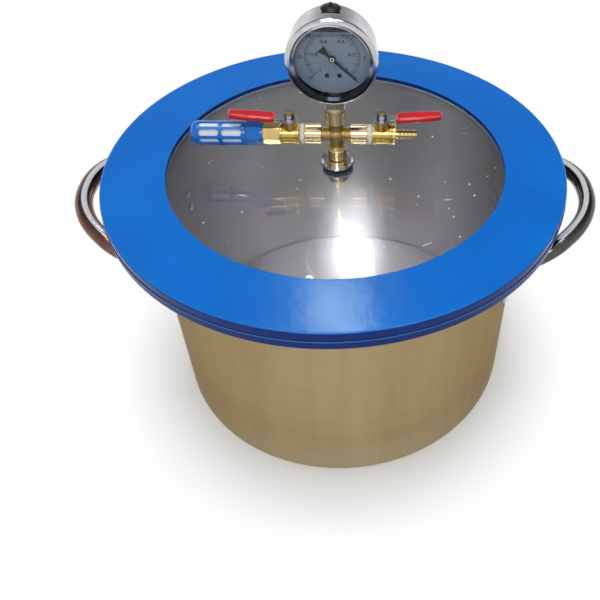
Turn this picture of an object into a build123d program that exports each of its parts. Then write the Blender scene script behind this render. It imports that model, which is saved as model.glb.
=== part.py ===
"""Vacuum degassing chamber: stainless pot, flanged gasket ring, glass lid and valve manifold.

Millimetres, +Z up, origin at the middle of the pot's underside. X runs along the manifold and
through both handles, and the gauge faces -Y.
"""
import os
from math import atan2, cos, degrees, pi, radians, sin

from build123d import *

# ---------------------------------------------------------------- driving dimensions
# Pot
pot_radius = 141.0           # outside of the wall
pot_height = 192.0           # underside to the top of the rim
pot_wall = 1.2
pot_corner = 8.0             # outside radius, floor to wall
rim_reach = 8.0              # how far the rim stands out from the wall
rim_turn = 2.6               # outside radius of the rolled edge
rim_lip = 4.4                # height of the turned-down lip

# Handles
tube_diameter = 13.0
tube_wall = 1.2
grip_reach = 51.0            # wall to the grip's centreline
grip_half = 28.5             # half length of the grip before its bends
grip_drop = 13.5             # rim top to the grip's centreline
grip_bend = 58.0
shoulder_reach = 9.0
shoulder_half = 66.0
shoulder_drop = 25.0
shoulder_bend = 29.0
foot_angle = 20.0            # each foot, round the pot from the handle's middle, degrees
foot_drop = 45.0             # rim top to where the tube meets its foot
foot_plate = 2.0
foot_width = 22.0
foot_height = 54.0
foot_corner = 6.0
foot_above = 15.0            # plate above the tube's centreline at the wall
rivet_pitch = 13.0
rivet_edge = 10.5            # lowest rivet above the plate's lower edge
rivet_shank = 3.8
rivet_head = 9.6
rivet_dome = 2.4
rivet_gap = 0.02             # head to the sheet

# Gasket ring and lid
ring_web = 9.7               # ring outside the lid's channel
ring_grip = 35.4             # how far its top flange laps over the lid
ring_top_flange = 4.0
ring_bottom_flange = 3.0
ring_bottom_overlap = 4.0    # lower flange inside the pot's wall
ring_edge = 1.4              # rounding of the outer edges
bead_radius = 0.6            # parting bead round the outside
bead_drop = 7.7              # ring's top to the bead
lid_overhang = 19.0          # lid beyond the pot's wall
lid_thickness = 8.0
lid_fit = 0.3                # lid to the ring's channel
lid_edge = 0.8

# Pipe thread, fluid way and fits
thread_diameter = 10.2
thread_gap = 0.05
way_diameter = 6.0
lid_hole = 11.0
run_gap = 0.08               # stem in its bore
ball_gap = 0.25              # ball to its seats and cavity

# Bulkhead through the lid
seal_radius = 11.6
seal_top_thickness = 2.2
washer_radius = 12.7
washer_plate = 1.3
washer_rise = 1.1            # how far the dished edge stands up
washer_dish = 2.6            # width of the dished edge
washer_lip = 0.8
seal_bottom_thickness = 1.8
washer_bottom_radius = 10.0
washer_bottom_thickness = 1.2
nut_flats = 14.0
nut_thickness = 5.4
nut_round = 0.6
nipple_below = 1.4           # thread showing under the nut
nipple_engagement = 9.0
nipple_lead = 0.7            # chamfer at the thread's ends

# Cross fitting
cross_height = 23.4          # lower face to the middle of the cross
cross_arm = 22.3
collar_diameter = 14.3
collar_length = 11.8
neck_diameter = 10.0
cross_body = 13.2            # ball at the middle
collar_socket = 9.6          # depth of the threaded socket
collar_break = 0.5           # chamfer at a collar's mouth
side_shoulder = 0.2          # run of the step from neck to collar, on the side arms
slope_shoulder = 2.4         # the same, on the upper and lower arms
thread_stop = 0.6            # a screwed-in thread's end to the socket's floor

# Thread tape
tape_length = 3.8
tape_diameter = 14.2
gauge_tape_length = 1.2
gauge_tape_diameter = 12.4
tape_ridge = 0.5

# Ball valves
stem_reach = 32.7            # middle of the cross to the stem's axis
body_diameter = 15.4
body_length = 14.0
body_rib = 0.5               # collars at the body's two ends
rib_width = 1.6
rib_slope = 0.4
cavity_diameter = 11.2
ball_diameter = 10.0
seat_length = 1.2
boss_diameter = 11.0
boss_height = 12.0           # above the valve's axis
boss_break = 0.5
stem_diameter = 5.0
stem_collar = 7.0
stem_collar_height = 1.2
stem_flats = 3.8
stem_thread = 4.0
tang_width = 2.0
tang_depth = 1.4
packing_diameter = 7.4
packing_height = 2.2
stop_radius = 6.6            # middle of the stop lug from the stem
stop_size = 2.0
stop_angle = 112.0           # round the stem from the open lever, degrees
stop_rise = 2.0              # above the boss
stop_overlap = 0.5           # lug's foot inside the boss
stop_foot = 0.6              # share of the boss's height below the lug's root
stop_clear = 0.35            # lug to the lever's notch
lever_travel = 90.0          # degrees
lever_lift = 0.4             # running gap, boss to lever
lever_plate = 1.5
lever_head = 14.6
lever_arm_width = 6.6
lever_arm_end = 40.0
lever_crank_start = 8.5
lever_slope = 4.5            # degrees
sleeve_start = 10.4
sleeve_end = 43.0
sleeve_width = 9.6
sleeve_tip_width = 7.0
sleeve_thickness = 4.2
sleeve_mouth = 0.6           # how much narrower the sleeve starts
sleeve_flare = 3.0           # length over which it widens
sleeve_waist = 0.55          # share of its length at full width
lever_nut_flats = 6.6
lever_nut_height = 3.2
stem_above_nut = 0.5
lever_nut_round = 0.45
stem_lead = 0.35

# Left valve's hex end and its air filter
hex_end_flats = 13.6
hex_end_length = 12.0
thread_relief = 0.5          # tapped hole beyond the thread in it
filter_flange_diameter = 16.6
filter_flange = 2.0
filter_hex_flats = 15.4
filter_hex_length = 9.8
filter_diameter = 17.7
filter_length = 39.8
filter_wall = 1.5
filter_dome = 5.0
filter_neck = 1.6            # step from the cage down to behind its hex
filter_break = 0.5
filter_floor = 1.0           # cage's floor behind the hex
window_count = 8
window_length = 14.0
window_width = 4.6
window_first = 3.1           # hex to the first row of windows
window_ring = 2.1
core_gap = 0.1
core_bore = 7.0
core_tip = 3.0               # solid end of the core
filter_thread = 8.5

# Right valve's hose barb
barb_flange_diameter = 15.4
barb_flange = 2.8
barb_flange_break = 0.5
barb_root = 5.4
barb_crest = 6.9
barb_length = 15.4
barb_count = 5
barb_bore = 3.2
barb_start = 1.5             # flange to the first ridge
barb_land = 0.5              # flat on a ridge's crest
barb_valley = 0.35           # how far each ridge's foot stands above the root

# Gauge
gauge_centre = 62.4          # manifold axis to the pointer's pivot
gauge_square = 12.4
case_radius = 29.2
case_wall = 1.1
case_front = -8.0            # y of the case's front edge
case_back = 13.0
case_round = 3.5
bezel_rim = 1.25             # bezel outside the case
bezel_front = -14.0
bezel_skirt = 3.4            # how far the bezel laps the case
bezel_bevel = 2.2            # width of the slope down to the window
window_rim = 4.3             # case's outside to the window's edge
bezel_lip = 0.5              # straight edge round the window
bezel_round = 2.3            # rounding of the bezel's front corner
bezel_inner_round = 0.6      # rounding of the bevel's outer edge
bezel_break = 0.5
glass_inset = 0.8            # glass inside the case's outside
window_seat = 1.5            # case to the glass
gasket_reveal = 0.9          # gasket set back from the window's edge
glass_thickness = 2.4
dial_inset = 1.5             # dial inside the case's wall
dial_thickness = 0.8
dial_front = -4.2
screw_side = 4.2             # dial screws from the middle
screw_drop = 13.0
screw_head = 3.0
screw_height = 0.9
screw_break = 0.15
screw_slot = 0.4
screw_slot_depth = 0.35
screw_turn = 35.0            # slot's turn, degrees
screw_clear = 0.2            # on the hole's diameter
screw_shank = 1.8
plug_radius = 6.6
plug_y = 2.3
plug_flange = 1.4            # height of the plug's straight edge
plug_crown = 2.9             # height of its domed top
plug_height = 4.7            # height of its nub
plug_neck = 5.0
plug_nub = 1.5
plug_barb = 0.8              # how far the plug's inner rim stands out
pointer_front = -7.0
pointer_thickness = 0.5
pointer_short = 1.7          # needle's tip to the window's edge
pointer_tip = 1.5            # length of the sharpened end
pointer_tail = 10.5
pointer_hub = 5.0
hub_front = 0.7              # hub before the needle
hub_back = 1.6               # and behind the needle's front
zero_angle = -45.0           # pointer at rest, from +X towards +Z
dial_sweep = 270.0           # whole scale, degrees
neck_gap = 0.3               # wrench square to the bezel

# Gauge movement
gear_module = 0.3
pinion_teeth = 12
sector_teeth = 96            # teeth on the whole circle that the sector is cut from
sector_lead = 2              # spare teeth beyond each end of its travel
gear_thickness = 1.0
tooth_root = 1.0             # below the pitch circle, in modules
tooth_tip = 0.7              # above it
gear_mid = 1.8               # y of the gears' middle
plate_thickness = 1.0
plate_gap = 4.6              # between the two plates
plate_front = -1.5           # y of the front plate's front face
plate_width = 13.6
plate_above = 5.5            # above the pointer's pivot
pillar_diameter = 2.6
pillar_side = 0.6            # pillar to the plate's side
pillar_top = 0.8             # and to its top
plate_corner = 2.0
arbor_diameter = 1.4
block_lift = 1.4             # case wall to the block
block_height = 2.6
tongue_gap = 0.7             # socket's tongue to the sector's hub
sector_rim = 1.5             # pitch circle to the rim's inside
sector_arm = 2.4
sector_tail = 7.0
sector_tail_width = 2.0
sector_eye = 2.6
sector_eye_bore = 1.0
sector_hub = 4.4
sector_tail_angle = 80.0     # from the middle of its teeth, degrees
block_width = 14.0
block_depth = 9.0
bourdon_inset = 6.3          # case wall to the tube's centreline
bourdon_width = 7.0
bourdon_thick = 2.2
bourdon_sweep = 246.0

# ---------------------------------------------------------------- places worked out from them
lid_radius = pot_radius + lid_overhang
ring_radius = lid_radius + lid_fit + ring_web
ring_opening = lid_radius - ring_grip
ring_bottom = pot_height
lid_bottom = ring_bottom + ring_bottom_flange
lid_top = lid_bottom + lid_thickness
ring_top = lid_top + ring_top_flange
washer_top = lid_top + seal_top_thickness + washer_plate
manifold_z = washer_top + cross_height
gauge_z = manifold_z + gauge_centre
body_start = cross_arm + tape_length
body_end = body_start + body_length
hex_end = body_end + hex_end_length
filter_hex_start = hex_end + filter_flange
cage_start = filter_hex_start + filter_hex_length
cage_end = cage_start + filter_length
plate_back = plate_front + 2 * plate_thickness + plate_gap
pinion_pitch = gear_module * pinion_teeth / 2
sector_pitch = gear_module * sector_teeth / 2
sector_z = gauge_z - pinion_pitch - sector_pitch
sector_step = 360.0 / sector_teeth
sector_cut = round(dial_sweep / 360 * pinion_teeth) + 2 * sector_lead
sector_start = 90.0 - sector_lead * sector_step
case_bottom = gauge_z - case_radius
bezel_radius = case_radius + bezel_rim
glass_radius = case_radius - glass_inset
dial_radius = case_radius - case_wall - dial_inset
window_radius = case_radius - window_rim
pointer_reach = window_radius - pointer_short
bourdon_radius = case_radius - case_wall - bourdon_inset
block_low = case_bottom + case_wall + block_lift
tongue_low = block_low + block_height
tongue_height = sector_z - sector_hub / 2 - tongue_gap - tongue_low
movement_y = plate_front + plate_thickness + plate_gap / 2


# ---------------------------------------------------------------- helpers
def turned(points):
    """A solid of revolution about Z, from (radius, height)."""
    return revolve(Plane.XZ * make_face(Polyline(*points, close=True)), axis=Axis.Z)


def turned_x(points):
    """A solid of revolution about X, from (x, radius)."""
    return revolve(make_face(Polyline(*points, close=True)), axis=Axis.X)


def bar_x(diameter, start, end):
    """A round bar along X."""
    return Pos(start, 0, 0) * extrude(Plane.YZ * Circle(diameter / 2), amount=end - start)


def bar_y(diameter, start, end, x=0.0, z=0.0):
    """A round bar along Y."""
    return Pos(x, start, z) * extrude(Plane.XZ * Circle(diameter / 2), amount=start - end)


def bar_z(diameter, start, end):
    """A round bar along Z."""
    return Pos(0, 0, start) * extrude(Circle(diameter / 2), amount=end - start)


def hex_x(flats, start, end):
    """A hexagon bar along X, with two of its flats to the front and back turned level."""
    outline = RegularPolygon(flats / 2, 6, major_radius=False)
    bar = Pos(start, 0, 0) * extrude(Plane.YZ * outline, amount=end - start)
    corners = bar_x(flats * 1.12, start, end)
    return bar & chamfer(corners.edges(), flats * 0.03)


def on_wall(angle):
    """A frame on the pot's wall at an angle from +X, with its Z pointing out."""
    outward = Vector(cos(radians(angle)), sin(radians(angle)), 0)
    return Plane(origin=outward * pot_radius, x_dir=Vector(-outward.Y, outward.X, 0), z_dir=outward)


def at_manifold(part):
    return Pos(0, 0, manifold_z) * part


def both_sides(part):
    """The right-hand piece and its mirror image."""
    return part, mirror(part, Plane.YZ)


# ---------------------------------------------------------------- pot
def make_pot():
    mid = pot_wall / 2
    wall_line = FilletPolyline(
        (0, mid),
        (pot_radius - mid, mid),
        (pot_radius - mid, pot_height - mid),
        (pot_radius + rim_reach - mid, pot_height - mid),
        (pot_radius + rim_reach - mid, pot_height - rim_lip),
        radius=[pot_corner - mid, rim_turn, rim_turn - mid],
    )
    return revolve(Plane.XZ * trace(wall_line, pot_wall), axis=Axis.Z)


# ---------------------------------------------------------------- handles
def handle_path():
    """The tube's centreline, from inside one foot to inside the other."""
    angle = radians(foot_angle)
    meet = Vector(cos(angle) * pot_radius, -sin(angle) * pot_radius, pot_height - foot_drop)
    shoulder = Vector(pot_radius + shoulder_reach, -shoulder_half, pot_height - shoulder_drop)
    grip = Vector(pot_radius + grip_reach, -grip_half, pot_height - grip_drop)
    start = meet + (meet - shoulder).normalized() * tube_diameter
    half = [start, shoulder, grip]
    other = [Vector(p.X, -p.Y, p.Z) for p in reversed(half)]
    bends = [shoulder_bend, grip_bend, grip_bend, shoulder_bend]
    return FilletPolyline(*half, *other, radius=bends)


def make_handle():
    path = handle_path()
    section = Plane(origin=path @ 0, z_dir=path % 0)
    outer = sweep(section * Circle(tube_diameter / 2), path=path)
    inner = sweep(section * Circle(tube_diameter / 2 - tube_wall), path=path)
    inside_feet = bar_z(2 * (pot_radius + foot_plate), 0, pot_height + 50)
    return outer - inner - inside_feet


def rivet_heights():
    top = pot_height - foot_drop + foot_above
    low = top - foot_height + rivet_edge
    return low, low + rivet_pitch


def make_foot(angle):
    """A pressed plate that hugs the wall, with two rivet holes."""
    middle = pot_height - foot_drop + foot_above - foot_height / 2
    shell = bar_z(2 * (pot_radius + foot_plate), 0, pot_height) - bar_z(2 * pot_radius, 0, pot_height)
    outline = RectangleRounded(foot_width, foot_height, foot_corner)
    block = Pos(0, 0, middle) * extrude(on_wall(angle) * outline, amount=3 * foot_plate, both=True)
    plate = shell & block
    for height in rivet_heights():
        plate -= Pos(0, 0, height) * extrude(on_wall(angle) * Circle(rivet_shank / 2), amount=20, both=True)
    return plate


def make_rivets(angle):
    """Two domed rivets through one foot and the wall, headed inside as well."""
    sagitta = rivet_head ** 2 / (8 * pot_radius)
    inside = -pot_wall - sagitta - rivet_gap
    outside = foot_plate + rivet_gap
    profile = [
        (0, inside - rivet_dome * 0.6),
        (rivet_head * 0.32, inside - rivet_dome * 0.45),
        (rivet_head / 2, inside - rivet_dome * 0.1),
        (rivet_head / 2, inside),
        (rivet_shank / 2, inside),
        (rivet_shank / 2, outside),
        (rivet_head / 2, outside),
        (rivet_head / 2, outside + rivet_dome * 0.15),
        (rivet_head * 0.32, outside + rivet_dome * 0.8),
        (0, outside + rivet_dome),
    ]
    rivet = turned(profile)
    return [Pos(0, 0, height) * on_wall(angle).location * rivet for height in rivet_heights()]


def pierce_for_rivets(pot, angle):
    for height in rivet_heights():
        pot -= Pos(0, 0, height) * extrude(on_wall(angle) * Circle(rivet_shank / 2), amount=20, both=True)
    return pot


# ---------------------------------------------------------------- gasket ring and lid
def make_ring():
    channel = lid_radius + lid_fit
    overlap = pot_radius - pot_wall - ring_bottom_overlap
    section = make_face(Polyline(
        (ring_opening, lid_top),
        (channel, lid_top),
        (channel, lid_bottom),
        (overlap, lid_bottom),
        (overlap, ring_bottom),
        (ring_radius, ring_bottom),
        (ring_radius, ring_top),
        (ring_opening, ring_top),
        close=True,
    ))
    outer = section.vertices().filter_by_position(Axis.X, ring_radius - 0.01, ring_radius + 0.01)
    section = fillet(outer, ring_edge)
    inner = section.vertices().filter_by_position(Axis.X, ring_opening - 0.01, ring_opening + 0.01)
    section = fillet(inner.sort_by(Axis.Y)[-1], ring_edge / 2)
    section += Pos(ring_radius, ring_top - bead_drop) * Circle(bead_radius)
    return revolve(Plane.XZ * section, axis=Axis.Z)


def make_lid():
    disc = bar_z(2 * lid_radius, lid_bottom, lid_top)
    disc = chamfer(disc.edges(), lid_edge)
    return disc - bar_z(lid_hole, lid_bottom, lid_top)


# ---------------------------------------------------------------- bulkhead
def make_seal(top, thickness):
    disc = bar_z(2 * seal_radius, top - thickness, top)
    disc = fillet(disc.edges(), thickness * 0.3)
    return disc - bar_z(thread_diameter + 2 * thread_gap, top - thickness, top)


def make_dished_washer():
    low = washer_top - washer_plate
    return turned([
        (thread_diameter / 2 + thread_gap, low),
        (washer_radius - washer_dish / 2, low),
        (washer_radius, low + washer_rise * 0.8),
        (washer_radius, washer_top + washer_rise),
        (washer_radius - washer_lip, washer_top + washer_rise),
        (washer_radius - washer_dish, washer_top),
        (thread_diameter / 2 + thread_gap, washer_top),
    ])


def below_lid():
    """Heights of the lower seal, washer, nut and nipple ends, from the lid down."""
    seal = lid_bottom - seal_bottom_thickness
    washer = seal - washer_bottom_thickness
    nut = washer - nut_thickness
    return seal, washer, nut, nut - nipple_below


def make_bottom_washer():
    seal, washer, nut, end = below_lid()
    ring = bar_z(2 * washer_bottom_radius, washer, seal)
    ring = chamfer(ring.edges(), washer_bottom_thickness * 0.25)
    return ring - bar_z(thread_diameter + 2 * thread_gap, washer, seal)


def make_bulkhead_nut():
    seal, washer, nut, end = below_lid()
    hexagon = Pos(0, 0, nut) * extrude(RegularPolygon(nut_flats / 2, 6, major_radius=False), nut_thickness)
    round_off = chamfer(bar_z(nut_flats * 1.13, nut, washer).edges(), nut_round)
    return (hexagon & round_off) - bar_z(thread_diameter + 2 * thread_gap, nut, washer)


def make_nipple():
    end = below_lid()[3]
    top = washer_top + nipple_engagement
    rod = chamfer(bar_z(thread_diameter, end, top).edges(), nipple_lead)
    return rod - bar_z(way_diameter, end, top)


# ---------------------------------------------------------------- cross fitting
def cross_branch(reach, shoulder):
    """One arm along +X: neck, shoulder (square or sloped) and collar."""
    collar_start = reach - collar_length
    return turned_x([
        (0, 0),
        (0, neck_diameter / 2),
        (collar_start - shoulder, neck_diameter / 2),
        (collar_start, collar_diameter / 2 - collar_break / 2),
        (collar_start + collar_break / 2, collar_diameter / 2),
        (reach - collar_break, collar_diameter / 2),
        (reach, collar_diameter / 2 - collar_break),
        (reach, 0),
    ])


def make_cross():
    side = cross_branch(cross_arm, side_shoulder)
    upper = cross_branch(cross_arm, slope_shoulder)
    lower = cross_branch(cross_height, slope_shoulder)
    body = Sphere(cross_body / 2) + side + Rot(0, 180, 0) * side
    body += Rot(0, -90, 0) * upper + Rot(0, 90, 0) * lower
    socket = thread_diameter + 2 * thread_gap
    body -= bar_x(way_diameter, -cross_arm, cross_arm) + bar_z(way_diameter, -cross_height, cross_arm)
    body -= bar_x(socket, cross_arm - collar_socket, cross_arm)
    body -= bar_x(socket, -cross_arm, collar_socket - cross_arm)
    body -= bar_z(socket, cross_arm - collar_socket, cross_arm)
    body -= bar_z(socket, -cross_height, collar_socket - cross_height)
    return at_manifold(body)


def tape_ring(length, diameter, start):
    """A few turns of tape bunched on a thread, along X."""
    hole = thread_diameter / 2 + thread_gap
    outer = diameter / 2
    return turned_x([
        (start, hole),
        (start, outer - tape_ridge),
        (start + length * 0.2, outer),
        (start + length * 0.45, outer - tape_ridge / 2),
        (start + length * 0.7, outer),
        (start + length, outer - tape_ridge),
        (start + length, hole),
    ])


# ---------------------------------------------------------------- ball valve, right-hand pieces
def make_valve_body():
    half = body_diameter / 2
    thread_end = cross_arm - collar_socket + thread_stop
    shell = turned_x([
        (thread_end, 0),
        (thread_end, thread_diameter / 2 - nipple_lead),
        (thread_end + nipple_lead, thread_diameter / 2),
        (body_start, thread_diameter / 2),
        (body_start, half - body_rib),
        (body_start + rib_slope, half),
        (body_start + rib_width, half),
        (body_start + rib_width + rib_slope, half - body_rib),
        (body_end - rib_width - rib_slope, half - body_rib),
        (body_end - rib_width, half),
        (body_end - rib_slope, half),
        (body_end, half - rib_slope),
        (body_end, 0),
    ])
    boss = Pos(stem_reach, 0, 0) * bar_z(boss_diameter, 0, boss_height)
    boss = chamfer(boss.edges().group_by(Axis.Z)[-1], boss_break)
    shell += boss
    shell -= bar_x(way_diameter, 0, body_end)
    cavity_start = stem_reach - ball_diameter / 2
    shell -= bar_x(cavity_diameter, cavity_start, body_end)
    upright = Pos(stem_reach, 0, 0)
    shell -= upright * bar_z(stem_collar + 2 * ball_gap, 0, collar_top() + ball_gap)
    shell -= upright * bar_z(stem_diameter + 2 * run_gap, 0, boss_height)
    shell -= upright * bar_z(packing_diameter, boss_height - packing_height, boss_height)
    inside_boss = boss_diameter - 2 * stop_overlap
    lug = Pos(stop_radius, 0, 0) * extrude(Rectangle(stop_size, stop_size), boss_height + stop_rise)
    lug -= bar_z(inside_boss, 0, boss_height + stop_rise)
    lug -= bar_z(3 * stop_radius, 0, boss_height * stop_foot)
    root = Pos(stop_radius - stop_size / 2, 0, boss_height * stop_foot)
    root *= extrude(Rectangle(stop_size, stop_size), boss_height * (1 - stop_foot))
    root -= bar_z(inside_boss, 0, boss_height)
    shell += upright * Rot(0, 0, stop_angle) * (lug + root)
    return at_manifold(shell)


def collar_top():
    """Top of the stem's collar above the valve's axis."""
    return ball_diameter / 2 + stem_collar_height


def make_seats():
    """Two seat rings, one each side of the ball."""
    space = ball_diameter / 2 + ball_gap
    outer = cavity_diameter / 2 - thread_gap
    way = way_diameter / 2
    back = ball_diameter / 2
    face = back - seat_length
    face_radius = (space ** 2 - face ** 2) ** 0.5
    way_x = (space ** 2 - way ** 2) ** 0.5
    middle_angle = (atan2(face_radius, face) + atan2(way, way_x)) / 2
    outline = Polyline((face, face_radius), (face, outer), (back, outer), (back, way), (way_x, way))
    arc_middle = (space * cos(middle_angle), space * sin(middle_angle))
    outline += ThreePointArc((way_x, way), arc_middle, (face, face_radius))
    seat = revolve(make_face(outline), axis=Axis.X)
    at_stem = Pos(stem_reach, 0, 0)
    return [at_manifold(at_stem * seat), at_manifold(at_stem * Rot(0, 0, 180) * seat)]


def make_packing():
    low = boss_height - packing_height
    ring = bar_z(packing_diameter - 2 * thread_gap, low, boss_height)
    ring -= bar_z(stem_diameter + 2 * run_gap, low, boss_height)
    return at_manifold(Pos(stem_reach, 0, 0) * ring)


def make_ball():
    ball = Sphere(ball_diameter / 2)
    ball -= bar_x(way_diameter, -ball_diameter, ball_diameter)
    slot = Pos(0, 0, ball_diameter / 2) * Box(ball_diameter, tang_width, 2 * tang_depth)
    return at_manifold(Pos(stem_reach, 0, 0) * (ball - slot))


def lever_heights():
    low = boss_height + lever_lift
    top = low + lever_plate
    nut = top + lever_nut_height
    return low, top, nut, nut + stem_above_nut


def make_stem():
    low, top, nut, end = lever_heights()
    tang = Pos(0, 0, ball_diameter / 2 - tang_depth / 2) * Box(stem_collar, tang_width, tang_depth)
    tang &= bar_z(stem_collar, 0, ball_diameter)
    stem = tang + bar_z(stem_collar, ball_diameter / 2, collar_top())
    stem += bar_z(stem_diameter, ball_diameter / 2, low)
    flat = bar_z(stem_diameter, low, top)
    flat &= Pos(0, 0, low) * extrude(Rectangle(stem_diameter, stem_flats), lever_plate)
    thread = chamfer(bar_z(stem_thread, top, end).edges().sort_by(Axis.Z)[-1], stem_lead)
    return at_manifold(Pos(stem_reach, 0, 0) * (stem + flat + thread))


def crank():
    """The frame of the raised arm: its X runs along the arm's middle."""
    low = lever_heights()[0]
    return Pos(lever_crank_start, 0, low) * Rot(0, -lever_slope, 0)


def lever_arm():
    """The raised arm of the lever plate, in the crank's frame."""
    from_crank = (Align.MIN, Align.CENTER)
    length = lever_arm_end - lever_crank_start
    arm = extrude(Rectangle(length, lever_arm_width, align=from_crank), lever_plate)
    return fillet(arm.edges().filter_by(Axis.Z).group_by(Axis.X)[-1], lever_arm_width * 0.4)


def make_lever():
    low, top, nut, end = lever_heights()
    head = bar_z(lever_head, low, top)
    from_stem = (Align.MIN, Align.CENTER)
    inner = extrude(Rectangle(lever_crank_start, lever_arm_width, align=from_stem), lever_plate)
    arm = lever_arm()
    knee = Pos(lever_crank_start, 0, low + lever_plate / 2)
    knee *= Rot(90, 0, 0) * extrude(Circle(lever_plate / 2), lever_arm_width / 2, both=True)
    plate = head + Pos(0, 0, low) * inner + crank() * arm + knee
    hole = extrude(Rectangle(stem_diameter, stem_flats), top + 1) & bar_z(stem_diameter, 0, top + 1)
    plate -= hole
    margin = degrees((stop_size / 2 + stop_clear) / (stop_radius - stop_size / 2))
    notch = []
    steps = 8
    first = stop_angle - margin
    last = stop_angle + lever_travel + margin
    for step in range(steps + 1):
        angle = radians(first + (last - first) * step / steps)
        notch.append((cos(angle) * lever_head, sin(angle) * lever_head))
    wedge = extrude(make_face(Polyline((0, 0), *notch, close=True)), top + 1)
    plate -= wedge - bar_z(2 * (stop_radius - stop_size / 2 - stop_clear), 0, top + 1)
    return at_manifold(Pos(stem_reach, 0, 0) * plate)


def make_sleeve():
    start = sleeve_start - lever_crank_start
    length = sleeve_end - sleeve_start
    half = sleeve_width / 2
    tip = sleeve_tip_width / 2
    outline = make_face(Polyline(
        (start, -half + sleeve_mouth),
        (start + sleeve_flare, -half),
        (start + length * sleeve_waist, -half),
        (start + length, -tip),
        (start + length, tip),
        (start + length * sleeve_waist, half),
        (start + sleeve_flare, half),
        (start, half - sleeve_mouth),
        close=True,
    ))
    ends = outline.vertices().group_by(Axis.X)[-1]
    outline = fillet(ends, tip * 0.8)
    low = (lever_plate - sleeve_thickness) / 2
    sleeve = Pos(0, 0, low) * extrude(outline, sleeve_thickness)
    faces = sleeve.faces().filter_by(Axis.Z)
    sleeve = fillet(faces.edges(), sleeve_thickness * 0.36)
    return at_manifold(Pos(stem_reach, 0, 0) * (crank() * (sleeve - lever_arm())))


def make_lever_nut():
    low, top, nut, end = lever_heights()
    hexagon = extrude(RegularPolygon(lever_nut_flats / 2, 6, major_radius=False), lever_nut_height)
    hexagon = Pos(0, 0, top) * hexagon
    round_off = bar_z(lever_nut_flats * 1.12, top, nut)
    round_off = chamfer(round_off.edges(), lever_nut_round)
    body = (hexagon & round_off) - bar_z(stem_thread, top, nut)
    return at_manifold(Pos(stem_reach, 0, 0) * body)


# ---------------------------------------------------------------- what the valves carry
def make_hex_end():
    """The left valve's end, as a right-hand piece: it holds the outer seat and takes the filter."""
    inner = stem_reach + ball_diameter / 2
    stub = bar_x(cavity_diameter - 2 * thread_gap, inner, body_end)
    end = stub + hex_x(hex_end_flats, body_end, hex_end)
    end -= bar_x(way_diameter, inner, hex_end)
    tapped = bar_x(thread_diameter + 2 * thread_gap, hex_end - filter_thread - thread_relief, hex_end)
    return at_manifold(end - tapped)


def make_cage():
    """The filter's moulded cage, with its hex and threaded spigot, as a right-hand piece."""
    radius = filter_diameter / 2
    outside = turned_x([
        (hex_end, 0),
        (hex_end, filter_flange_diameter / 2),
        (filter_hex_start, filter_flange_diameter / 2),
        (filter_hex_start, radius - filter_neck),
        (cage_start, radius - filter_neck),
        (cage_start, radius - filter_break),
        (cage_start + filter_break, radius),
        (cage_end - filter_dome, radius),
        (cage_end - filter_dome * 0.5, radius - filter_dome * 0.18),
        (cage_end - filter_dome * 0.16, radius - filter_dome * 0.52),
        (cage_end, radius - filter_dome * 0.8),
        (cage_end, 0),
    ])
    cage = outside + hex_x(filter_hex_flats, filter_hex_start, cage_start)
    cage += bar_x(thread_diameter, hex_end - filter_thread, hex_end)
    inside = radius - filter_wall
    cage -= bar_x(2 * inside, cage_start + filter_floor, cage_end - filter_dome)
    cage -= bar_x(way_diameter, hex_end - filter_thread, cage_start + filter_floor)
    window = RectangleRounded(window_length, window_width, window_width * 0.4)
    cutter = Pos(0, 0, inside - 1) * extrude(window, 2 * filter_wall + 1)
    rows = [cage_start + window_first + window_length / 2]
    rows.append(rows[0] + window_length + window_ring)
    cuts = []
    for middle in rows:
        for turn in range(window_count):
            angle = 360 / window_count * turn + 10
            cuts.append(Pos(middle, 0, 0) * Rot(angle, 0, 0) * cutter)
    return at_manifold(cage - cuts)


def make_core():
    radius = filter_diameter / 2 - filter_wall - core_gap
    start = cage_start + filter_floor
    end = cage_end - filter_dome
    core = bar_x(2 * radius, start, end)
    return at_manifold(core - bar_x(core_bore, start, end - core_tip))


def make_barb():
    inner = stem_reach + ball_diameter / 2
    stub = bar_x(cavity_diameter - 2 * thread_gap, inner, body_end)
    flange_end = body_end + barb_flange
    flange = chamfer(bar_x(barb_flange_diameter, body_end, flange_end).edges(), barb_flange_break)
    profile = [(flange_end, 0), (flange_end, barb_root / 2 + barb_valley)]
    step = (barb_length - barb_start) / barb_count
    for ridge in range(barb_count):
        start = flange_end + barb_start + ridge * step
        profile.append((start, barb_root / 2 + barb_valley))
        profile.append((start, barb_crest / 2))
        profile.append((start + barb_land, barb_crest / 2))
    profile.append((flange_end + barb_length, barb_root / 2))
    profile.append((flange_end + barb_length, 0))
    barb = stub + flange + turned_x(profile)
    barb -= bar_x(way_diameter, inner, body_end)
    return at_manifold(barb - bar_x(barb_bore, body_end, flange_end + barb_length))


# ---------------------------------------------------------------- gauge
def turned_y(points):
    """A solid of revolution about the gauge's axis, from (radius, y)."""
    body = revolve(Plane.XY * make_face(Polyline(*points, close=True)), axis=Axis.Y)
    return Pos(0, 0, gauge_z) * body


def make_socket():
    """Thread, wrench square and the block that carries the tube and the movement."""
    thread_low = manifold_z + cross_arm - collar_socket + thread_stop
    square_low = manifold_z + cross_arm + gauge_tape_length
    square_top = gauge_z - bezel_radius - neck_gap
    socket = bar_z(thread_diameter, thread_low, square_low)
    square = extrude(RectangleRounded(gauge_square, gauge_square, 1.6), square_top - square_low)
    socket += Pos(0, 0, square_low) * square
    socket += bar_z(block_depth, square_top, block_low)
    block = extrude(Rectangle(block_width, block_depth), block_height)
    socket += Pos(0, movement_y, block_low) * block
    tongue = extrude(Rectangle(block_width, plate_gap), tongue_height)
    socket += Pos(0, movement_y, tongue_low) * tongue
    return socket - bar_z(way_diameter / 2, thread_low, tongue_low + tongue_height / 2)


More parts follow.
